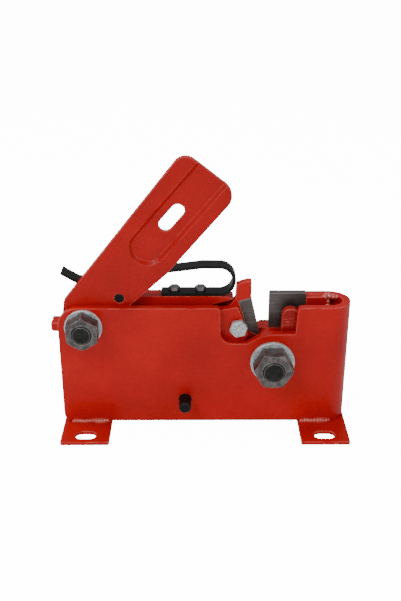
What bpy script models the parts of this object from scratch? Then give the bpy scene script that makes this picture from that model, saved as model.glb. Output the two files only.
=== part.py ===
"""Manual bench shear for round bar: frame, jaw, blades, lever head and push link.

X runs along the frame, Y through its thickness (front is -Y), Z up from the foot plates.
Driving sizes are in millimetres and every coordinate below is worked out from them.
"""
import math

import bmesh
import bpy
from mathutils import Matrix

MM = 0.001
CENTRING_X = 4.0

# Frame: one 8 mm plate folded round into a long U, standing on two cross feet.
FRAME_HALF_LENGTH = 143.5
FRAME_WIDTH = 42.0
PLATE = 8.0
FOOT_THICKNESS = 4.0
FRAME_TOP = 131.5
GAP = 0.3

# Layers through the thickness, front to back.
FRONT_FACE = -FRAME_WIDTH / 2
INNER_FRONT = FRONT_FACE + PLATE
INNER_REAR = -INNER_FRONT
HEAD_FRONT = INNER_FRONT + GAP
HEAD_REAR = HEAD_FRONT + PLATE
JAW_FRONT = -4.0
JAW_REAR = 4.6
BLADE_FRONT = JAW_REAR + GAP
BLADE_REAR = INNER_REAR - GAP

# Pivots in the XZ plane.
LEVER_PIVOT = (-118.4, 112.0)
JAW_PIVOT = (66.8, 73.5)
LINK_TIP = (28.8, 133.8)
HEAD_PIN = (-83.3, 138.6)
BLADE_BOLT = (32.8, 107.5)
FIXED_SCREW = (82.0, 117.0)
TIE_PIN = (-20.0, 30.0)

LEVER_BOLT_R = 10.0
MAIN_BOLT_R = 11.0
BLADE_BOLT_R = 5.0
TIE_PIN_R = 6.0

# Feet.
FOOT_LENGTH_X = 48.5
FOOT_DEPTH_Y = 118.0
SLOT_LENGTH = 21.0
SLOT_WIDTH = 13.0
SLOT_INSET_Y = 46.5

# Lever head plate.
HEAD_CORNERS = [(-73.0, 131.0, 4), (-36.5, 164.3, 50), (30.8, 243.4, 14), (-20.2, 283.6, 13),
                (-146.5, 124.3, 7)]
HEAD_BOSS_R = 22.0
CHANNEL_DEPTH = 3.2
CHANNEL_SLOPE = 3.6
CHANNEL_HALF_WIDTH = 18.0
HEAD_ANGLE = math.radians(49.6)
CHANNEL_START = (-54.7, 190.6)
HEAD_SLOT = (-31.5, 219.7)
HEAD_SLOT_LENGTH = 31.0
HEAD_SLOT_WIDTH = 13.0

# Push link and its leaf spring.
LINK_TOP = 136.6
SPRING_SCREWS_X = (-30.0, -4.5)
SPRING_MID_Y = 3.6
SPRING_THICKNESS = 3.6
SPRING_HALF_WIDTH = 7.2

RED = (0.47, 0.022, 0.014)
STEEL_BLADE = (0.10, 0.092, 0.088)
STEEL_DARK = (0.075, 0.072, 0.07)
ZINC = (0.42, 0.44, 0.46)
BLACK = (0.012, 0.012, 0.013)


def metres(place):
    """Design millimetres to world metres, with the bounding box centred on the origin."""
    return ((place[0] + CENTRING_X) * MM, place[1] * MM, place[2] * MM)


def material(name, colour, roughness, metallic):
    """Return a Principled material."""
    made = bpy.data.materials.new(name)
    made.use_nodes = True
    shader = made.node_tree.nodes["Principled BSDF"]
    shader.inputs["Base Color"].default_value = (*colour, 1.0)
    shader.inputs["Roughness"].default_value = roughness
    shader.inputs["Metallic"].default_value = metallic
    return made


def arc(centre, radius, start_deg, end_deg, steps):
    """Points on a circle from one angle to another."""
    points = []
    for step in range(steps + 1):
        angle = math.radians(start_deg + (end_deg - start_deg) * step / steps)
        points.append((centre[0] + radius * math.cos(angle), centre[1] + radius * math.sin(angle)))
    return points


def rounded(corners, steps=6):
    """Turn (x, z, radius) corners into an outline with filleted corners."""
    outline = []
    count = len(corners)
    for index, corner in enumerate(corners):
        x, z = corner[0], corner[1]
        radius = corner[2] if len(corner) > 2 else 0.0
        before, after = corners[index - 1], corners[(index + 1) % count]
        if radius <= 0:
            outline.append((x, z))
            continue
        back = (before[0] - x, before[1] - z)
        ahead = (after[0] - x, after[1] - z)
        back_len, ahead_len = math.hypot(*back), math.hypot(*ahead)
        back = (back[0] / back_len, back[1] / back_len)
        ahead = (ahead[0] / ahead_len, ahead[1] / ahead_len)
        half = math.acos(max(-1.0, min(1.0, back[0] * ahead[0] + back[1] * ahead[1]))) / 2
        cut = min(radius / math.tan(half), back_len * 0.48, ahead_len * 0.48)
        start = (x + back[0] * cut, z + back[1] * cut)
        end = (x + ahead[0] * cut, z + ahead[1] * cut)
        radius = cut * math.tan(half)
        middle = (back[0] + ahead[0], back[1] + ahead[1])
        scale = math.hypot(radius, cut) / math.hypot(*middle)
        centre = (x + middle[0] * scale, z + middle[1] * scale)
        first = math.atan2(start[1] - centre[1], start[0] - centre[0])
        last = math.atan2(end[1] - centre[1], end[0] - centre[0])
        sweep = (last - first + math.pi) % (2 * math.pi) - math.pi
        for step in range(steps + 1):
            angle = first + sweep * step / steps
            outline.append((centre[0] + radius * math.cos(angle), centre[1] + radius * math.sin(angle)))
    return outline


def stadium(centre, length, width, angle=0.0, steps=8):
    """Outline of a round-ended slot."""
    half = (length - width) / 2
    points = []
    for sign in (1, -1):
        for step in range(steps + 1):
            turn = math.radians(-90 + 180 * step / steps) + (0 if sign == 1 else math.pi)
            x = sign * half + width / 2 * math.cos(turn)
            y = width / 2 * math.sin(turn)
            points.append((centre[0] + x * math.cos(angle) - y * math.sin(angle),
                           centre[1] + x * math.sin(angle) + y * math.cos(angle)))
    return points


def new_object(name, mesh_builder, finish):
    """Make a mesh object from a bmesh that holds closed solids."""
    bmesh.ops.remove_doubles(mesh_builder, verts=mesh_builder.verts, dist=1e-6)
    bmesh.ops.recalc_face_normals(mesh_builder, faces=mesh_builder.faces)
    mesh = bpy.data.meshes.new(name)
    mesh_builder.to_mesh(mesh)
    mesh_builder.free()
    made = bpy.data.objects.new(name, mesh)
    bpy.context.collection.objects.link(made)
    if finish:
        mesh.materials.append(finish)
    return made


def add_prism(builder, outline, low, high, plane="XZ"):
    """Add a closed prism; the outline lies in XZ (run along Y) or XY (run along Z)."""
    rings = []
    for level in (low, high):
        ring = []
        for a, b in outline:
            place = (a, level, b) if plane == "XZ" else (a, b, level)
            ring.append(builder.verts.new(metres(place)))
        rings.append(ring)
    builder.faces.new(rings[0])
    builder.faces.new(list(reversed(rings[1])))
    count = len(outline)
    for index in range(count):
        after = (index + 1) % count
        builder.faces.new((rings[0][index], rings[1][index], rings[1][after], rings[0][after]))


def turned(name, centre, profile, finish, ring=False, segments=48):
    """A solid of revolution about a Y axis; profile is (radius, y), and ring=True closes it into a collar."""
    builder = bmesh.new()
    rings = []
    for radius, y in profile:
        points = []
        for step in range(segments):
            angle = 2 * math.pi * step / segments
            place = (centre[0] + radius * math.cos(angle), y, centre[1] + radius * math.sin(angle))
            points.append(builder.verts.new(metres(place)))
        rings.append(points)
    pairs = list(zip(rings, rings[1:]))
    if ring:
        pairs.append((rings[-1], rings[0]))
    else:
        builder.faces.new(rings[0])
        builder.faces.new(list(reversed(rings[-1])))
    for first, second in pairs:
        for index in range(segments):
            after = (index + 1) % segments
            builder.faces.new((first[index], second[index], second[after], first[after]))
    return new_object(name, builder, finish)


def tapered(name, first, second, low, high):
    """A solid between two outlines with the same count of points, along Y."""
    builder = bmesh.new()
    rings = [[builder.verts.new(metres((x, level, z))) for x, z in outline]
             for outline, level in ((first, low), (second, high))]
    builder.faces.new(rings[0])
    builder.faces.new(list(reversed(rings[1])))
    for index in range(len(first)):
        after = (index + 1) % len(first)
        builder.faces.new((rings[0][index], rings[1][index], rings[1][after], rings[0][after]))
    return new_object(name, builder, None)


def prism(name, outline, low, high, finish, plane="XZ"):
    """A prism as its own object."""
    builder = bmesh.new()
    add_prism(builder, outline, low, high, plane)
    return new_object(name, builder, finish)


def bevel(target, width, segments=1, angle=40):
    """Break the edges of a plate with a Bevel modifier."""
    modifier = target.modifiers.new("edge_break", "BEVEL")
    modifier.width = width * MM
    modifier.segments = segments
    modifier.limit_method = "ANGLE"
    modifier.angle_limit = math.radians(angle)
    modifier.use_clamp_overlap = True
    return target


def cut(target, cutter):
    """Subtract a hidden cutter from an object."""
    cutter.hide_render = True
    cutter.display_type = "WIRE"
    modifier = target.modifiers.new("cut", "BOOLEAN")
    modifier.operation = "DIFFERENCE"
    modifier.solver = "EXACT"
    modifier.object = cutter
    return target


def join(target, piece):
    """Weld a second solid onto an object."""
    modifier = target.modifiers.new("join", "BOOLEAN")
    modifier.operation = "UNION"
    modifier.solver = "EXACT"
    modifier.object = piece
    return target


def bake(target):
    """Apply the modifiers and remove the cutters they used."""
    graph = bpy.context.evaluated_depsgraph_get()
    mesh = bpy.data.meshes.new_from_object(target.evaluated_get(graph))
    cutters = [item.object for item in target.modifiers if item.type == "BOOLEAN"]
    target.modifiers.clear()
    target.data = mesh
    for cutter in cutters:
        bpy.data.objects.remove(cutter)
    return target


def bore(target, centre, radius, low, high, segments=48):
    """Cut a round hole along Y."""
    cutter = turned("cutter", centre, [(radius, low), (radius, high)], None, segments=segments)
    return cut(target, cutter)


def front_outline():
    """Front side plate with the cut-out that the jaw works in."""
    bend = FRAME_HALF_LENGTH - FRAME_WIDTH / 2
    return rounded([(-FRAME_HALF_LENGTH, FOOT_THICKNESS + GAP, 9), (bend, FOOT_THICKNESS + GAP),
                    (bend, FRAME_TOP), (90, FRAME_TOP, 5), (88.5, 103.2, 1.5), (66, 102.8, 12),
                    (54, 100.5, 8), (41, 93, 5), (15.5, 93, 12), (14.5, FRAME_TOP, 4),
                    (-FRAME_HALF_LENGTH, FRAME_TOP, 20)])


def rear_outline():
    """Rear side plate with the wider throat that the bar passes through."""
    bend = FRAME_HALF_LENGTH - FRAME_WIDTH / 2
    return rounded([(-FRAME_HALF_LENGTH, FOOT_THICKNESS + GAP, 9), (bend, FOOT_THICKNESS + GAP),
                    (bend, FRAME_TOP), (75, FRAME_TOP, 4), (75, 98, 4), (28, 98, 6), (28, FRAME_TOP, 4),
                    (-FRAME_HALF_LENGTH, FRAME_TOP, 20)])


def build_frame(finish):
    """U-bent frame: two side plates joined by the round bend."""
    frame = prism("frame_body", front_outline(), FRONT_FACE, INNER_FRONT, finish)
    rear = prism("cutter_rear", rear_outline(), INNER_REAR, -FRONT_FACE, finish)
    bend_x = FRAME_HALF_LENGTH - FRAME_WIDTH / 2
    outer = arc((bend_x, 0), FRAME_WIDTH / 2, -90, 90, 24)
    inner = arc((bend_x, 0), FRAME_WIDTH / 2 - PLATE, 90, -90, 24)
    builder = bmesh.new()
    add_prism(builder, outer + inner, FOOT_THICKNESS + GAP, FRAME_TOP, "XY")
    bend = new_object("cutter_bend", builder, finish)
    for piece in (rear, bend):
        join(frame, piece)
    bore(frame, LEVER_PIVOT, LEVER_BOLT_R + GAP, FRONT_FACE - 5, -FRONT_FACE + 5)
    bore(frame, JAW_PIVOT, MAIN_BOLT_R + GAP, FRONT_FACE - 5, -FRONT_FACE + 5)
    bore(frame, TIE_PIN, TIE_PIN_R + GAP, FRONT_FACE - 5, -FRONT_FACE + 5)
    bore(frame, FIXED_SCREW, 4.3, INNER_REAR - 1, -FRONT_FACE + 5)
    bake(frame)
    bevel(frame, 0.9, 2)
    return bake(frame)


def build_feet(finish):
    """Two cross plates with a slot in each end."""
    for name, side in (("foot_plate_left", -1), ("foot_plate_right", 1)):
        centre_x = side * (FRAME_HALF_LENGTH - FOOT_LENGTH_X / 2)
        half_x, half_y = FOOT_LENGTH_X / 2, FOOT_DEPTH_Y / 2
        outline = rounded([(centre_x - half_x, -half_y, 1.5), (centre_x + half_x, -half_y, 1.5),
                           (centre_x + half_x, half_y, 1.5), (centre_x - half_x, half_y, 1.5)], 2)
        foot = prism(name, outline, 0, FOOT_THICKNESS, finish, "XY")
        for end in (-1, 1):
            slot = stadium((centre_x, end * SLOT_INSET_Y), SLOT_LENGTH, SLOT_WIDTH)
            cut(foot, prism("cutter", slot, -1, FOOT_THICKNESS + 1, None, "XY"))
        bake(foot)
        bevel(foot, 0.4)
        bake(foot)


def build_lever_head(finish):
    """Lever head plate with its pressed channel, slot and pivot holes."""
    boss = arc(LEVER_PIVOT, HEAD_BOSS_R, 180, 312, 16)
    head = prism("lever_head", rounded(HEAD_CORNERS, 8) + boss, HEAD_FRONT, HEAD_REAR, finish)
    along = (math.cos(HEAD_ANGLE), math.sin(HEAD_ANGLE))
    length = 150.0
    middle = (CHANNEL_START[0] + along[0] * length / 2, CHANNEL_START[1] + along[1] * length / 2)
    mouth, floor = [stadium(middle, length + width, width, HEAD_ANGLE, 16)
                    for width in (2 * CHANNEL_HALF_WIDTH, 2 * (CHANNEL_HALF_WIDTH - CHANNEL_SLOPE))]
    cut(head, tapered("cutter", mouth, floor, HEAD_FRONT - 0.01, HEAD_FRONT + CHANNEL_DEPTH))
    slot = stadium(HEAD_SLOT, HEAD_SLOT_LENGTH, HEAD_SLOT_WIDTH, HEAD_ANGLE, 10)
    cut(head, prism("cutter", slot, HEAD_FRONT - 3, HEAD_REAR + 3, None))
    bore(head, LEVER_PIVOT, LEVER_BOLT_R + GAP, HEAD_FRONT - 3, HEAD_REAR + 3)
    bore(head, HEAD_PIN, 4.5 + GAP, HEAD_FRONT - 3, HEAD_REAR + 3, 24)
    bake(head)
    bevel(head, 0.8, 2)
    return bake(head)


def blade_outline():
    """Moving blade, leaning back from the throat, with a slanted lower end."""
    return [(33.4, 131.2), (45.6, 134.8), (53.9, 97.9), (52.9, 93.9), (42.5, 100.0)]


def build_jaw(finish, blade_finish):
    """Jaw core with its hub, notch for the link and seat for the blade."""
    hub = arc(JAW_PIVOT, 24.3, 215, 484, 36)
    seat = [(42.1, 99.6), (32.9, 131.4), (45.5, 135.2)]
    upper = [(45.5, 152.6), (40.6, 152.6), (30.7, 149.0), (29.7, 134.2)]
    lower = rounded([(29.2, 133.0), (13.5, 113.0, 4), (13.0, 92.0, 8), hub[0]], 4)[1:-1]
    jaw = prism("moving_jaw", hub + seat + upper + lower, JAW_FRONT, JAW_REAR, finish)
    bore(jaw, JAW_PIVOT, 15.0, JAW_FRONT - 2, JAW_REAR + 2)
    bore(jaw, BLADE_BOLT, BLADE_BOLT_R + GAP, JAW_FRONT - 2, JAW_REAR + 2, 24)
    bake(jaw)
    bevel(jaw, 0.4)
    bake(jaw)
    blade = prism("moving_blade", blade_outline(), JAW_FRONT + 0.1, JAW_REAR - 0.1, blade_finish)
    bevel(blade, 0.3)
    bake(blade)


def build_clamp_plate(finish):
    """Front cheek of the jaw, which clamps the moving blade's back edge."""
    outline = rounded([(10.5, 92.0, 8), (38.5, 92.0, 5), (43.0, 99.5, 1), (31.8, 128.8, 1.5),
                       (11.0, 125.0, 2)], 4)
    plate = prism("blade_clamp_plate", outline, HEAD_FRONT, JAW_FRONT - GAP, finish)
    bore(plate, BLADE_BOLT, BLADE_BOLT_R + GAP, HEAD_FRONT - 2, JAW_FRONT + 2, 24)
    bake(plate)
    bevel(plate, 0.7, 2)
    bake(plate)


def build_fixed_side(finish, blade_finish, screw_finish):
    """Backing plate inside the rear side plate, the square fixed blade and its screw."""
    right = FRAME_HALF_LENGTH - FRAME_WIDTH / 2 - 1.0
    outline = rounded([(36, 44, 8), (right, 44, 8), (right, FRAME_TOP), (100.4, FRAME_TOP, 1),
                       (100.4, 97.9, 1), (40, 97.9, 3)], 4)
    backing = prism("fixed_backing_plate", outline, JAW_REAR + GAP + 0.1, INNER_REAR - GAP, finish)
    bore(backing, JAW_PIVOT, MAIN_BOLT_R + GAP, JAW_REAR - 2, INNER_REAR + 2)
    bake(backing)
    bevel(backing, 0.6)
    bake(backing)
    blade = prism("fixed_blade", [(63.8, 98.3), (100.0, 98.3), (100.0, 136.0), (63.8, 136.0)],
                  BLADE_FRONT + 0.1, BLADE_REAR, blade_finish)
    bore(blade, FIXED_SCREW, 4.3, BLADE_FRONT + 3.0, BLADE_REAR + 2, 24)
    bake(blade)
    bevel(blade, 0.35)
    bake(blade)
    head = -FRONT_FACE + GAP
    turned("fixed_blade_screw", FIXED_SCREW,
           [(4.0, BLADE_FRONT + 4.0), (4.0, head), (6.5, head), (6.5, head + 5.4), (5.9, head + 6.0)],
           screw_finish, segments=32)


def build_lug(finish):
    """Rounded lug beside the throat, welded inside the front plate."""
    outline = rounded([(74.3, 93.0, 1), (91.5, 93.0, 1), (91.5, 126.6, 6), (76.0, 126.6, 7)], 6)
    lug = prism("support_lug", outline, HEAD_FRONT, JAW_FRONT - GAP, finish)
    bevel(lug, 0.7)
    bake(lug)


def build_push_link(finish):
    """Push link: a thick bar with a pointed nose that sits in the jaw's notch."""
    tip_x, tip_z = LINK_TIP
    outline = rounded([(-92, 124, 6), (-70, 121, 8), (-8, 121, 6), (8, 128.2, 6), (tip_x - 2.0, tip_z - 0.7),
                       (tip_x - 0.6, tip_z), (tip_x - 9.0, LINK_TOP, 2), (-72, LINK_TOP, 10), (-78, 145.5, 6),
                       (-92, 145.5, 6)], 4)
    link = prism("push_link", outline, JAW_FRONT + 0.1, INNER_REAR - 0.4, finish)
    for x in SPRING_SCREWS_X:
        hole = [(3.1, 128.0), (3.1, 140.0)]
        cut(link, vertical_turned("cutter", (x, SPRING_MID_Y), hole, None, 24))
    bake(link)
    bevel(link, 0.5)
    bake(link)


def vertical_turned(name, centre, profile, finish, segments=32):
    """A turned solid about a Z axis; profile is (radius, z)."""
    builder = bmesh.new()
    rings = []
    for radius, z in profile:
        ring = []
        for step in range(segments):
            angle = 2 * math.pi * step / segments
            place = (centre[0] + radius * math.cos(angle), centre[1] + radius * math.sin(angle), z)
            ring.append(builder.verts.new(metres(place)))
        rings.append(ring)
    builder.faces.new(rings[0])
    builder.faces.new(list(reversed(rings[-1])))
    for first, second in zip(rings, rings[1:]):
        for index in range(segments):
            after = (index + 1) % segments
            builder.faces.new((first[index], second[index], second[after], first[after]))
    return new_object(name, builder, finish)


def spring_outline():
    """Leaf spring: lower leg, U bend, long upper leg and the turned-up end."""
    lower = LINK_TOP + GAP + SPRING_THICKNESS / 2
    bend_r = 14.4
    bend = (14.0, lower + bend_r)
    line = [(-43.0, lower), (0.0, lower)] + arc(bend, bend_r, -90, 82, 16)
    line += [(-2.0, 167.6), (-50.0, 161.4), (-100.0, 154.4), (-119.0, 151.6), (-124.5, 152.2),
             (-139.8, 161.6)]
    left, right = [], []
    for index, (x, z) in enumerate(line):
        before = line[max(index - 1, 0)]
        after = line[min(index + 1, len(line) - 1)]
        dx, dz = after[0] - before[0], after[1] - before[1]
        size = math.hypot(dx, dz)
        off = (-dz / size * SPRING_THICKNESS / 2, dx / size * SPRING_THICKNESS / 2)
        left.append((x + off[0], z + off[1]))
        right.append((x - off[0], z - off[1]))
    return left + list(reversed(right))


def build_spring(finish, screw_finish):
    """Leaf spring and the two hex screws that hold it on the link."""
    low, high = SPRING_MID_Y - SPRING_HALF_WIDTH, SPRING_MID_Y + SPRING_HALF_WIDTH
    spring = prism("leaf_spring", spring_outline(), low, high, finish)
    for x in SPRING_SCREWS_X:
        cut(spring, vertical_turned("cutter", (x, SPRING_MID_Y), [(3.3, 130.0), (3.3, 146.0)], None, 24))
    bake(spring)
    bevel(spring, 0.3)
    bake(spring)
    seat = LINK_TOP + GAP + SPRING_THICKNESS + GAP
    for number, x in enumerate(SPRING_SCREWS_X, 1):
        shank = vertical_turned("cutter", (x, SPRING_MID_Y), [(2.8, 129.0), (2.8, seat + 1.0)], None, 24)
        hexagon = arc((x, SPRING_MID_Y), 5.8, 0, 300, 5)
        head = prism(f"spring_screw_{number}", hexagon, seat, seat + 4.0, screw_finish, "XY")
        bevel(head, 0.5)
        bake(head)
        bake(join(head, shank))


def hex_nut(name, centre, across_flats, low, high, hole, turn_deg, finish):
    """Hex nut about a Y axis, chamfered on its outer face."""
    corner_r = across_flats / math.sqrt(3)
    outline = arc(centre, corner_r, turn_deg, turn_deg + 300, 5)
    nut = prism(name, outline, low, high, finish)
    chamfer = across_flats / 2
    drop = (corner_r - chamfer) * 0.62
    cap = turned("cutter", centre, [(chamfer * 0.98, low - 0.001), (corner_r + 1.0, low + drop + 0.6),
                                    (corner_r + 1.0, high + 1.0)], None)
    modifier = nut.modifiers.new("chamfer", "BOOLEAN")
    modifier.operation = "INTERSECT"
    modifier.solver = "EXACT"
    modifier.object = cap
    if hole:
        bore(nut, centre, hole, low - 2, high + 2)
    return bake(nut)


def build_pivot(prefix, centre, bolt_r, washer_r, washer_t, nut_flats, nut_t, turn, finishes):
    """Pivot bolt through the frame: washer and nut in front, washer and head behind."""
    dark, washer_finish, black = finishes
    front = FRONT_FACE - GAP
    rear = -FRONT_FACE + GAP
    turned(prefix + "_washer_front", centre, [(bolt_r + GAP, front - washer_t), (washer_r - 0.5, front - washer_t),
           (washer_r, front - washer_t + 0.5), (washer_r, front), (bolt_r + GAP, front)], washer_finish, ring=True)
    turned(prefix + "_washer_rear", centre, [(bolt_r + GAP, rear), (washer_r, rear),
           (washer_r, rear + washer_t - 0.5), (washer_r - 0.5, rear + washer_t), (bolt_r + GAP, rear + washer_t)],
           washer_finish, ring=True)
    nut_rear = front - washer_t - GAP
    hex_nut(prefix + "_nut", centre, nut_flats, nut_rear - nut_t, nut_rear, bolt_r + 0.25, turn, dark)
    head_low = rear + washer_t + GAP
    head_t = bolt_r * 1.25
    bolt = turned(prefix + "_bolt", centre, [(bolt_r - 1.4, nut_rear - nut_t - 1.6), (bolt_r, nut_rear - nut_t),
                  (bolt_r, head_low + 1.0)], black)
    head = prism("cutter", arc(centre, nut_flats / math.sqrt(3), turn, turn + 300, 5),
                 head_low, head_low + head_t, black)
    bevel(head, 0.9)
    bake(head)
    bake(join(bolt, head))


def collar(name, centre, inner_r, outer_r, low, high, finish):
    """Spacer collar or bush about a Y axis."""
    turned(name, centre, [(inner_r, low), (outer_r, low), (outer_r, high), (inner_r, high)], finish, ring=True)


def build_small_parts(red, steel, zinc, black):
    """Spacers, head pin, blade bolt, stop block and tie pin."""
    collar("lever_pivot_spacer", LEVER_PIVOT, LEVER_BOLT_R + GAP, 14.0, HEAD_REAR + GAP, INNER_REAR - GAP, steel)
    collar("main_pivot_spacer", JAW_PIVOT, MAIN_BOLT_R + GAP, 17.0, HEAD_FRONT, JAW_FRONT - GAP, steel)
    collar("jaw_bush", JAW_PIVOT, MAIN_BOLT_R + GAP, 15.0 - GAP, JAW_FRONT, JAW_REAR, steel)
    turned("head_pin", HEAD_PIN, [(4.0, HEAD_FRONT + 0.1), (4.5, HEAD_FRONT + 0.6), (4.5, HEAD_REAR)],
           black, segments=24)
    seat = HEAD_FRONT - GAP
    bolt = turned("blade_clamp_bolt", BLADE_BOLT, [(BLADE_BOLT_R, seat - 1.0), (BLADE_BOLT_R, JAW_REAR - 0.2)],
                  zinc, segments=24)
    head = prism("cutter", arc(BLADE_BOLT, 9.2, 12, 312, 5), seat - 6.4, seat, zinc)
    bevel(head, 0.7)
    bake(head)
    bake(join(bolt, head))
    seat_x = -FRAME_HALF_LENGTH - GAP
    left = -FRAME_HALF_LENGTH - PLATE
    block = rounded([(left, 103.0, 3.0), (seat_x, 103.0), (seat_x, 112.3), (left, 112.3, 1.0)], 4)
    stop = prism("stop_block", block, INNER_FRONT, 4.0, red)
    bevel(stop, 0.6)
    bake(stop)
    turned("tie_pin", TIE_PIN, [(TIE_PIN_R - 1.2, FRONT_FACE - 18.0), (TIE_PIN_R, FRONT_FACE - 16.6),
           (TIE_PIN_R, -FRONT_FACE + 2.0), (TIE_PIN_R - 1.0, -FRONT_FACE + 3.0)], black)


def hang(names, pivot, label):
    """Parent pieces to an empty on their joint's axis, without moving them."""
    axis = bpy.data.objects.new(label, None)
    bpy.context.collection.objects.link(axis)
    axis.location = metres((pivot[0], 0.0, pivot[1]))
    for name in names:
        piece = bpy.data.objects[name]
        piece.data.transform(Matrix.Translation(-axis.location))
        piece.parent = axis


def main():
    for item in list(bpy.data.objects):
        bpy.data.objects.remove(item)
    red = material("red_paint", RED, 0.38, 0.0)
    blade = material("blade_steel", STEEL_BLADE, 0.42, 0.9)
    dark = material("dark_steel", STEEL_DARK, 0.4, 0.9)
    zinc = material("zinc_plate", ZINC, 0.35, 0.9)
    black = material("black_oxide", BLACK, 0.45, 0.4)
    build_frame(red)
    build_feet(red)
    build_fixed_side(red, blade, black)
    build_lug(red)
    build_jaw(red, blade)
    build_clamp_plate(red)
    build_lever_head(red)
    build_push_link(red)
    build_spring(black, dark)
    build_pivot("lever_pivot", LEVER_PIVOT, LEVER_BOLT_R, 18.5, 3.0, 30.0, 15.0, 90, (dark, dark, black))
    build_pivot("main_pivot", JAW_PIVOT, MAIN_BOLT_R, 22.0, 4.0, 34.0, 18.0, 0, (dark, zinc, black))
    build_small_parts(red, dark, zinc, black)
    hang(["lever_head", "head_pin"], LEVER_PIVOT, "lever_axis")
    hang(["moving_jaw", "moving_blade", "blade_clamp_plate", "blade_clamp_bolt", "jaw_bush"], JAW_PIVOT, "jaw_axis")
    hang(["push_link", "leaf_spring", "spring_screw_1", "spring_screw_2"], LINK_TIP, "link_axis")


main()
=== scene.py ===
import math
import random

import bmesh
import bpy
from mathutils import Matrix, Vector


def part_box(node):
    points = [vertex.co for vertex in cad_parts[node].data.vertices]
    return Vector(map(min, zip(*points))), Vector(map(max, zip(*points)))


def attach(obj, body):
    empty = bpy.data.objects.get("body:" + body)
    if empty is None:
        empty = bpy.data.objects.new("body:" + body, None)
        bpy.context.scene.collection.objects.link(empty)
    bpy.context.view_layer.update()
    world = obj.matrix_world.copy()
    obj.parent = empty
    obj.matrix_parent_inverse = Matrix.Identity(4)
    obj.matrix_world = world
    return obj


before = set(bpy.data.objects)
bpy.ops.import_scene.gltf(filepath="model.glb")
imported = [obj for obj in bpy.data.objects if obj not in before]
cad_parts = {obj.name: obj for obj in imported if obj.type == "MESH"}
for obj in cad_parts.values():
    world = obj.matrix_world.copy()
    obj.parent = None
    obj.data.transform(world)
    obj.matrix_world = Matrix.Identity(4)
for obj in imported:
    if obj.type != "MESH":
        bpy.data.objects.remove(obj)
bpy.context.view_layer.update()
MM = 0.001

CAMERA_GLOW = 14.0          # floor and sky brightness as the camera sees them
WORLD_LIGHT = 0.38          # soft light from all round
FLOOR_REACH = 9.0           # half the floor's side, m
FLOOR_DROP = 0.2 * MM       # floor below the feet
ENAMEL_ROUGHNESS_SPREAD = 0.23
FOOT_BEAD_RADIUS = 3.0 * MM
FOOT_BEAD_LIFT = 0.8 * MM
BOLT_RADIUS = {"lever_pivot": 10.0 * MM, "main_pivot": 11.0 * MM}
LAMPS = (  # name, place, size, power
    ("key", (-0.75, -0.85, 1.15), 0.7, 10.5),
    ("fill", (0.95, -0.95, 0.75), 0.9, 4.0),
    ("top", (0.0, 0.25, 1.4), 1.1, 7.0),
    ("front_low", (0.0, -1.5, 0.35), 1.0, 3.0),
    ("rim", (-0.95, 0.30, 1.05), 0.5, 6.0),
)
LAMP_TARGET = (0.0, 0.0, 0.13)
CAMERA_PLACE = (-0.0031, -0.7670, 0.4861)
CAMERA_PITCH_DOWN = 24.88
CAMERA_YAW = -0.20
CAMERA_LENS = 51.34
SENSOR_WIDTH = 36.0


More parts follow.
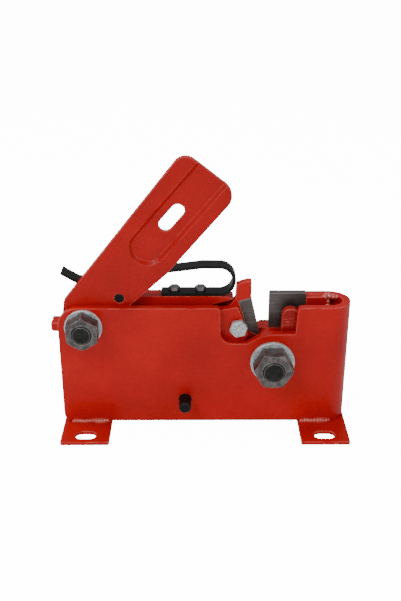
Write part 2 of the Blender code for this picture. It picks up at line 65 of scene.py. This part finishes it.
# ---------------------------------------------------------------- material building blocks
class Nodes:
    """Short-hand for building one material's node tree."""

    def __init__(self, name):
        self.material = bpy.data.materials.new(name)
        self.material.use_nodes = True
        self.tree = self.material.node_tree
        self.shader = self.tree.nodes["Principled BSDF"]
        self.place = self.add("ShaderNodeTexCoord").outputs["Object"]

    def add(self, kind, **settings):
        node = self.tree.nodes.new(kind)
        for key, value in settings.items():
            setattr(node, key, value)
        return node

    def link(self, source, target):
        self.tree.links.new(source, target)

    def noise(self, scale, detail=4.0, roughness=0.55, stretch=None):
        """Noise over the object's own metres; stretch scales it along X, Y and Z."""
        node = self.add("ShaderNodeTexNoise")
        node.inputs["Scale"].default_value = scale
        node.inputs["Detail"].default_value = detail
        node.inputs["Roughness"].default_value = roughness
        source = self.place
        if stretch:
            mapping = self.add("ShaderNodeMapping")
            mapping.inputs["Scale"].default_value = stretch
            self.link(self.place, mapping.inputs["Vector"])
            source = mapping.outputs["Vector"]
        self.link(source, node.inputs["Vector"])
        return node.outputs["Fac"]

    def cells(self, scale):
        """Random value per small cell, for plating speckle."""
        node = self.add("ShaderNodeTexVoronoi")
        node.inputs["Scale"].default_value = scale
        self.link(self.place, node.inputs["Vector"])
        split = self.add("ShaderNodeSeparateColor")
        self.link(node.outputs["Color"], split.inputs["Color"])
        return split.outputs["Red"]

    def ramp(self, value, stops):
        """Colour ramp; stops are (position, colour)."""
        node = self.add("ShaderNodeValToRGB")
        elements = node.color_ramp.elements
        while len(elements) < len(stops):
            elements.new(0.5)
        for element, (position, colour) in zip(elements, stops):
            element.position = position
            element.color = (*colour, 1.0)
        self.link(value, node.inputs["Fac"])
        return node.outputs["Color"]

    def mask(self, value, low, high):
        """Smooth 0 to 1 mask of a value between two limits."""
        node = self.add("ShaderNodeMapRange", interpolation_type="SMOOTHSTEP")
        node.inputs["From Min"].default_value = low
        node.inputs["From Max"].default_value = high
        self.link(value, node.inputs["Value"])
        return node.outputs["Result"]

    def times(self, first, second):
        node = self.add("ShaderNodeMath", operation="MULTIPLY")
        for socket, value in zip(node.inputs, (first, second)):
            if isinstance(value, float):
                socket.default_value = value
            else:
                self.link(value, socket)
        return node.outputs["Value"]

    def blend(self, factor, first, second):
        """Mix two colours; either may be a plain colour."""
        node = self.add("ShaderNodeMix", data_type="RGBA")
        self.link(factor, node.inputs["Factor"])
        for name, value in (("A", first), ("B", second)):
            socket = [item for item in node.inputs if item.name == name and item.type == "RGBA"][0]
            if isinstance(value, tuple):
                socket.default_value = (*value, 1.0)
            else:
                self.link(value, socket)
        return [item for item in node.outputs if item.type == "RGBA"][0]

    def edge(self, radius, low=0.0015, high=0.05):
        """Mask that is 1 on convex and concave edges of the mesh."""
        soft = self.add("ShaderNodeBevel", samples=6)
        soft.inputs["Radius"].default_value = radius
        true = self.add("ShaderNodeNewGeometry")
        dot = self.add("ShaderNodeVectorMath", operation="DOT_PRODUCT")
        self.link(soft.outputs["Normal"], dot.inputs[0])
        self.link(true.outputs["True Normal"], dot.inputs[1])
        turn = self.add("ShaderNodeMath", operation="SUBTRACT")
        turn.inputs[0].default_value = 1.0
        self.link(dot.outputs["Value"], turn.inputs[1])
        return self.mask(turn.outputs["Value"], low, high)

    def roughness(self, value, low, high):
        node = self.add("ShaderNodeMapRange")
        node.inputs["To Min"].default_value = low
        node.inputs["To Max"].default_value = high
        self.link(value, node.inputs["Value"])
        self.link(node.outputs["Result"], self.shader.inputs["Roughness"])

    def bump(self, layers):
        """Stack bump layers of (height, strength, distance)."""
        normal = None
        for height, strength, distance in layers:
            node = self.add("ShaderNodeBump")
            node.inputs["Strength"].default_value = strength
            node.inputs["Distance"].default_value = distance
            self.link(height, node.inputs["Height"])
            if normal:
                self.link(normal, node.inputs["Normal"])
            normal = node.outputs["Normal"]
        self.link(normal, self.shader.inputs["Normal"])


def red_paint(name, tone=1.0, dust_and_shade_share=0.35, gloss=0.20, smooth=0.27, coat=0.06):
    """Brushed-on gloss enamel: cloudy tone, paler pink edges that are partly wear and partly painted
    highlight, dark dust patches, soft orange peel.
    """
    made = Nodes(name)
    clouds = made.noise(16.0, 5.0, 0.6)
    base = made.ramp(clouds, [(0.30, (0.39 * tone, 0.0012, 0.0007)), (0.55, (0.49 * tone, 0.0016, 0.0009)),
                              (0.78, (0.57 * tone, 0.0030, 0.0016))])
    scuffs = made.mask(made.noise(60.0, 7.0, 0.72, (1.0, 1.0, 3.0)), 0.66, 0.78)
    base = made.blend(made.times(scuffs, 0.22), base, (0.60, 0.045, 0.030))
    # Dark dust patches; with a large share, as on the lug, they also stand for painted shade.
    grime = made.mask(made.noise(34.0, 6.0, 0.7), 0.60, 0.74)
    base = made.blend(made.times(grime, dust_and_shade_share), base, (0.19, 0.010, 0.008))
    # Paler pink on the edges: partly paint worn thin, partly painted highlight of light glancing off the
    # edges.
    wear_and_edge_highlight = made.times(made.edge(1.3 * MM), made.mask(made.noise(95.0, 4.0), 0.28, 0.62))
    base = made.blend(made.times(wear_and_edge_highlight, 0.75), base, (0.70, 0.16, 0.12))
    made.link(base, made.shader.inputs["Base Color"])
    made.roughness(made.noise(45.0, 5.0), smooth, smooth + ENAMEL_ROUGHNESS_SPREAD)
    made.shader.inputs["Specular IOR Level"].default_value = gloss
    made.shader.inputs["Coat Weight"].default_value = coat
    made.shader.inputs["Coat Roughness"].default_value = 0.12
    made.bump([(made.noise(260.0, 3.0), 0.10, 0.0004), (made.noise(38.0, 3.0), 0.12, 0.0010)])
    return made.material


def blade_steel():
    """Surface-ground tool steel: fine grinding lines, brown tint and pale ground edges."""
    made = Nodes("ground_blade_steel")
    lines = made.noise(240.0, 5.0, 0.7, (0.10, 1.0, 2.2))
    stain = made.noise(48.0, 5.0, 0.6)
    base = made.blend(made.mask(stain, 0.38, 0.66), (0.125, 0.115, 0.112), (0.085, 0.068, 0.058))
    base = made.blend(made.times(made.mask(lines, 0.45, 0.70), 0.40), base, (0.24, 0.23, 0.225))
    base = made.blend(made.times(made.edge(0.7 * MM), 0.7), base, (0.42, 0.41, 0.40))
    made.link(base, made.shader.inputs["Base Color"])
    made.shader.inputs["Metallic"].default_value = 0.85
    made.roughness(lines, 0.34, 0.58)
    made.bump([(lines, 0.18, 0.0002), (stain, 0.08, 0.0003)])
    return made.material


def dark_steel(name="dark_steel_nut", tint=(0.060, 0.056, 0.055)):
    """Hot-forged, oiled steel: mottled scale with brighter rubbed corners."""
    made = Nodes(name)
    scale = made.noise(170.0, 6.0, 0.65)
    base = made.blend(made.mask(scale, 0.36, 0.68), tint, tuple(2.6 * value for value in tint))
    rust = made.mask(made.noise(70.0, 4.0), 0.60, 0.76)
    base = made.blend(made.times(rust, 0.5), base, (0.12, 0.045, 0.028))
    base = made.blend(made.times(made.edge(0.9 * MM), 0.65), base, (0.36, 0.35, 0.34))
    made.link(base, made.shader.inputs["Base Color"])
    made.shader.inputs["Metallic"].default_value = 0.8
    made.roughness(scale, 0.28, 0.55)
    made.bump([(scale, 0.25, 0.0003)])
    return made.material


def zinc_plate():
    """Dull zinc plating with a fine crystal speckle."""
    made = Nodes("zinc_speckle")
    speckle = made.cells(900.0)
    base = made.ramp(speckle, [(0.0, (0.30, 0.33, 0.34)), (0.5, (0.46, 0.50, 0.51)),
                               (1.0, (0.68, 0.71, 0.71))])
    stain = made.mask(made.noise(110.0, 5.0), 0.55, 0.75)
    base = made.blend(made.times(stain, 0.35), base, (0.26, 0.24, 0.22))
    base = made.blend(made.times(made.edge(0.6 * MM), 0.5), base, (0.78, 0.79, 0.79))
    made.link(base, made.shader.inputs["Base Color"])
    made.shader.inputs["Metallic"].default_value = 0.55
    made.roughness(speckle, 0.36, 0.58)
    made.bump([(made.noise(700.0, 3.0), 0.15, 0.0002)])
    return made.material


def black_steel(name, low, high):
    """Black oxide or black lacquer on steel with faint rubbed edges."""
    made = Nodes(name)
    grain = made.noise(210.0, 4.0)
    base = made.blend(made.mask(grain, 0.4, 0.7), (0.0035, 0.0035, 0.0035), (0.009, 0.009, 0.009))
    base = made.blend(made.times(made.edge(0.7 * MM), 0.35), base, (0.07, 0.07, 0.07))
    made.link(base, made.shader.inputs["Base Color"])
    made.shader.inputs["Specular IOR Level"].default_value = 0.16
    made.shader.inputs["Metallic"].default_value = 0.0
    made.roughness(grain, low, high)
    made.bump([(grain, 0.14, 0.0002)])
    return made.material


def dress(material, *names):
    """Replace the plain material on CAD nodes with a finished one."""
    for name in names:
        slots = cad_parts[name].data.materials
        slots.clear()
        slots.append(material)
        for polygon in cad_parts[name].data.polygons:
            polygon.material_index = 0


# ---------------------------------------------------------------- mesh building blocks
def finished(name, builder, material, body):
    """Turn a bmesh into a riding piece with smooth shading."""
    bmesh.ops.recalc_face_normals(builder, faces=builder.faces)
    mesh = bpy.data.meshes.new(name)
    builder.to_mesh(mesh)
    builder.free()
    piece = bpy.data.objects.new(name, mesh)
    bpy.context.collection.objects.link(piece)
    mesh.materials.append(material)
    for polygon in mesh.polygons:
        polygon.use_smooth = True
    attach(piece, body)
    return piece


def weld_bead(name, start, end, radius, material, body, seed):
    """A hand-laid weld bead: overlapping ripples, a little uneven in height."""
    chance = random.Random(seed)
    start, end = Vector(start), Vector(end)
    along = (end - start).normalized()
    side = along.cross(Vector((0, 0, 1))).normalized() if abs(along.z) < 0.9 else Vector((0, 1, 0))
    up = side.cross(along).normalized()
    length = (end - start).length
    steps = max(12, int(length / (0.7 * MM)))
    around = 14
    builder = bmesh.new()
    rings = []
    sway = chance.uniform(0, 6)
    for step in range(steps + 1):
        t = step / steps
        ripple = 1.0 + 0.17 * math.cos(2 * math.pi * t * length / (3.1 * MM))
        lump = 1.0 + 0.16 * math.sin(sway + 9 * t) + chance.uniform(-0.04, 0.04)
        taper = math.sqrt(max(0.02, 1 - abs(2 * t - 1) ** 10))
        size = radius * ripple * lump * taper
        centre = start.lerp(end, t) + side * radius * 0.12 * math.sin(sway + 17 * t)
        ring = []
        for turn in range(around):
            angle = 2 * math.pi * turn / around
            ring.append(builder.verts.new(centre + size * (math.cos(angle) * side + math.sin(angle) * up)))
        rings.append(ring)
    builder.faces.new(rings[0])
    builder.faces.new(list(reversed(rings[-1])))
    for first, second in zip(rings, rings[1:]):
        for index in range(around):
            after = (index + 1) % around
            builder.faces.new((first[index], second[index], second[after], first[after]))
    return finished(name, builder, material, body)


def add_welds(material, lug_shaded_material):
    """Beads at the feet, beside the bend, on the stop block and on the lug."""
    low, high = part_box("frame_body")
    foot_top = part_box("foot_plate_left")[1].z
    front, rear = low.y, high.y
    bead_z = foot_top + FOOT_BEAD_LIFT
    for side in ("left", "right"):
        foot_low, foot_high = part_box(f"foot_plate_{side}")
        x_from = foot_low.x + 7.5 * MM
        x_to = foot_high.x - (1.5 * MM if side == "left" else 15.0 * MM)
        if side == "right":
            x_from = foot_low.x + 1.5 * MM
        for label, y, seed in (("front", front - 1.0 * MM, 3), ("rear", rear + 1.0 * MM, 8)):
            weld_bead(f"foot_weld_{side}_{label}", (x_from, y, bead_z), (x_to, y, bead_z),
                      FOOT_BEAD_RADIUS, material, "frame", seed + len(side))
    plate_low, plate_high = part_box("fixed_backing_plate")
    top = plate_high.z
    middle = (plate_low.y + plate_high.y) / 2
    weld_bead("bend_weld_top", (plate_high.x - 3.5 * MM, middle - 4.5 * MM, top - 0.8 * MM),
              (plate_high.x + 1.5 * MM, middle + 4.5 * MM, top - 0.4 * MM), 2.6 * MM, material, "frame", 21)
    fills = ((3.2, 3.6, 0.2), (7.0, 3.0, -0.5), (10.5, 2.0, -1.4))
    for number, (reach_x, half_y, lift) in enumerate(fills):
        centre_x = plate_high.x + reach_x * MM
        reach_y = half_y * MM
        weld_bead(f"bend_weld_fill_{number}", (centre_x, middle - reach_y, top + (lift - 1.2) * MM),
                  (centre_x - 1.2 * MM, middle + reach_y, top + (lift - 0.2) * MM), 2.5 * MM, material,
                  "frame", 24 + number)
    weld_bead("bend_weld_down", (plate_high.x + 0.8 * MM, middle - 3.0 * MM, top - 2.0 * MM),
              (plate_high.x + 0.8 * MM, middle - 3.0 * MM, top - 45.0 * MM), 2.4 * MM, material, "frame", 22)
    stop_low, stop_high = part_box("stop_block")
    weld_bead("stop_weld", (stop_high.x, stop_low.y - 0.2 * MM, stop_low.z + 1.0 * MM),
              (stop_high.x, stop_low.y - 0.2 * MM, stop_high.z - 1.5 * MM), 1.3 * MM, material, "frame", 31)
    # The lug ripples take the darker lug enamel, which holds painted shade.
    lug_low, lug_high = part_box("support_lug")
    for number in range(3):
        z = lug_high.z - (11.0 + 3.2 * number) * MM
        weld_bead(f"lug_ripple_{number}", (lug_low.x + 2.4 * MM, lug_low.y + 0.7 * MM, z),
                  (lug_high.x - 2.4 * MM, lug_low.y + 0.7 * MM, z + 0.7 * MM), 1.1 * MM, lug_shaded_material,
                  "frame", 41 + number)


def thread(name, centre, radius, y_front, y_back, material):
    """Screw thread shown on a bolt's end: a helical ridge round the shank."""
    pitch = 2.5 * MM
    turns = abs(y_back - y_front) / pitch
    steps = int(turns * 40)
    profile = ((-0.45, -0.02), (0.0, 0.20), (0.45, -0.02), (0.0, -0.10))
    builder = bmesh.new()
    rings = []
    for step in range(steps + 1):
        angle = 2 * math.pi * step / 40
        y = y_front + (y_back - y_front) * step / steps
        ring = []
        for along, out in profile:
            reach = radius + out * MM
            ring.append(builder.verts.new((centre[0] + reach * math.cos(angle), y + along * MM,
                                           centre[1] + reach * math.sin(angle))))
        rings.append(ring)
    builder.faces.new(rings[0])
    builder.faces.new(list(reversed(rings[-1])))
    for first, second in zip(rings, rings[1:]):
        for index in range(4):
            after = (index + 1) % 4
            builder.faces.new((first[index], second[index], second[after], first[after]))
    return finished(name, builder, material, "frame")


# ---------------------------------------------------------------- finishes
paint = red_paint("red_enamel", 0.95)
paint_head = red_paint("red_enamel_head", 0.84)
paint_weld = red_paint("red_enamel_weld", 0.90, 0.35, 0.60, 0.10, 0.70)
# Darker copy of the enamel for the lug: the low tone and heavy dark patches are painted shade, as the lug
# sits behind the front plate.
paint_lug_shaded = red_paint("red_enamel_lug_shaded", 0.62, 0.90)
blade = blade_steel()
nut_steel = dark_steel()
screw_steel = dark_steel("bright_screw", (0.110, 0.105, 0.100))
bolt_steel = dark_steel("black_bolt_end", (0.011, 0.011, 0.010))
zinc = zinc_plate()
spring_black = black_steel("spring_lacquer", 0.34, 0.50)
pin_black = black_steel("pin_black_oxide", 0.40, 0.58)

dress(paint, "frame_body", "foot_plate_left", "foot_plate_right", "fixed_backing_plate",
      "stop_block", "moving_jaw", "blade_clamp_plate", "push_link")
dress(paint_head, "lever_head")
dress(paint_lug_shaded, "support_lug")
dress(blade, "fixed_blade", "moving_blade")
dress(nut_steel, "lever_pivot_nut", "main_pivot_nut", "lever_pivot_spacer", "main_pivot_spacer", "jaw_bush")
dress(screw_steel, "spring_screw_1", "spring_screw_2")
dress(bolt_steel, "lever_pivot_bolt", "main_pivot_bolt")
dress(zinc, "lever_pivot_washer_front", "lever_pivot_washer_rear", "main_pivot_washer_front",
      "main_pivot_washer_rear", "blade_clamp_bolt")
dress(spring_black, "leaf_spring")
dress(pin_black, "tie_pin", "head_pin", "fixed_blade_screw")

add_welds(paint_weld, paint_lug_shaded)
for pivot in ("lever_pivot", "main_pivot"):
    nut_low, nut_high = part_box(f"{pivot}_nut")
    hub = ((nut_low.x + nut_high.x) / 2, (nut_low.z + nut_high.z) / 2)
    thread(f"{pivot}_thread", hub, BOLT_RADIUS[pivot] - 0.1 * MM, nut_low.y - 0.6 * MM,
           nut_low.y + 2.4 * MM, bolt_steel)

# ---------------------------------------------------------------- floor, light and camera
def camera_glow(tree, kind, extra):
    """Brightness that only camera rays see, on top of what other rays get."""
    seen = tree.nodes.new("ShaderNodeLightPath")
    glow = tree.nodes.new("ShaderNodeMath")
    glow.operation = kind
    glow.inputs[1].default_value = CAMERA_GLOW
    if extra is not None:
        glow.inputs[2].default_value = extra
    tree.links.new(seen.outputs["Is Camera Ray"], glow.inputs[0])
    return glow.outputs["Value"]


def studio_floor():
    """Wide pale floor; it reaches past the view from every side."""
    builder = bmesh.new()
    corners = [(-FLOOR_REACH, -FLOOR_REACH), (FLOOR_REACH, -FLOOR_REACH),
               (FLOOR_REACH, FLOOR_REACH), (-FLOOR_REACH, FLOOR_REACH)]
    builder.faces.new([builder.verts.new((x, y, -FLOOR_DROP)) for x, y in corners])
    mesh = bpy.data.meshes.new("studio_floor")
    builder.to_mesh(mesh)
    builder.free()
    floor = bpy.data.objects.new("studio_floor", mesh)
    bpy.context.collection.objects.link(floor)
    made = bpy.data.materials.new("floor_white")
    made.use_nodes = True
    tree = made.node_tree
    shader = tree.nodes["Principled BSDF"]
    shader.inputs["Base Color"].default_value = (0.90, 0.90, 0.90, 1.0)
    shader.inputs["Roughness"].default_value = 0.85
    shader.inputs["Specular IOR Level"].default_value = 0.1
    shader.inputs["Emission Color"].default_value = (1.0, 1.0, 1.0, 1.0)
    tree.links.new(camera_glow(tree, "MULTIPLY", None), shader.inputs["Emission Strength"])
    mesh.materials.append(made)


def lamp(name, place, aim, size, power):
    """Square area lamp turned to face its aim point."""
    light = bpy.data.lights.new(name, "AREA")
    light.size = size
    light.energy = power
    made = bpy.data.objects.new(name, light)
    bpy.context.collection.objects.link(made)
    made.location = place
    made.rotation_euler = (Vector(aim) - Vector(place)).to_track_quat("-Z", "Y").to_euler()


studio_floor()
for lamp_name, lamp_place, lamp_size, lamp_power in LAMPS:
    lamp(lamp_name, lamp_place, LAMP_TARGET, lamp_size, lamp_power)
world = bpy.context.scene.world or bpy.data.worlds.new("studio")
bpy.context.scene.world = world
world.use_nodes = True
sky = world.node_tree.nodes["Background"]
sky.inputs["Color"].default_value = (1.0, 1.0, 1.0, 1.0)
world.node_tree.links.new(camera_glow(world.node_tree, "MULTIPLY_ADD", WORLD_LIGHT), sky.inputs["Strength"])

camera_data = bpy.data.cameras.new("camera")
camera_data.lens = CAMERA_LENS
camera_data.sensor_width = SENSOR_WIDTH
camera = bpy.data.objects.new("camera", camera_data)
bpy.context.collection.objects.link(camera)
camera.location = CAMERA_PLACE
camera.rotation_euler = (math.radians(90.0 - CAMERA_PITCH_DOWN), 0.0, math.radians(CAMERA_YAW))
bpy.context.scene.camera = camera
